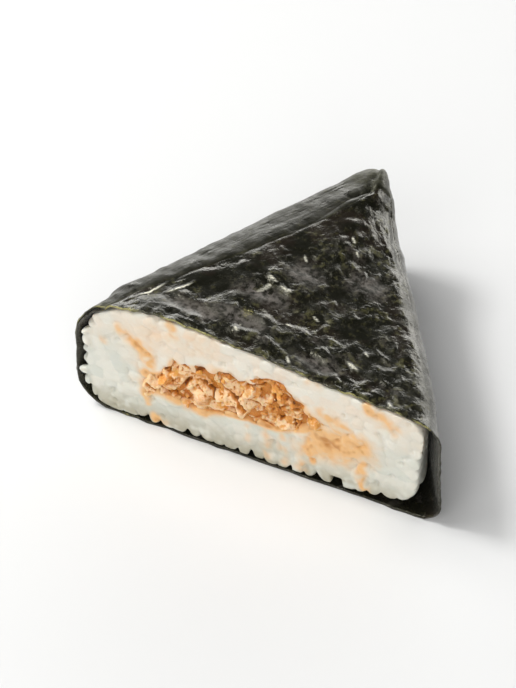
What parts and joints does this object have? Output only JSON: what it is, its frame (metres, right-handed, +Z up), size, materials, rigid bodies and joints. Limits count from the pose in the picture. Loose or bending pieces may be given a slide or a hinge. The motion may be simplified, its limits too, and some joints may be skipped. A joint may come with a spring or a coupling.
{
  "type": "halved onigiri rice ball",
  "caption": "Cut half of a triangular rice ball: pressed rice round a flaked filling, wrapped in dark seaweed, lying flat with the knife cut in front.",
  "frame": {"origin": "bottom centre of the bounding box, on the table under the half", "axes": "+X to the right along the cut, +Y from the cut towards the tip of the triangle, +Z up; the cut faces -Y"},
  "size_m": [0.0692, 0.0516, 0.0269],
  "materials": {
    "nori": "black-green seaweed sheet with a soft grey sheen",
    "rice": "moist pressed rice, off-white and slightly glossy",
    "filling": "oily orange-brown flakes"
  },
  "bodies": {
    "root": {"nori": "nori", "rice": "rice", "filling": "filling"}
  },
  "joints": []
}
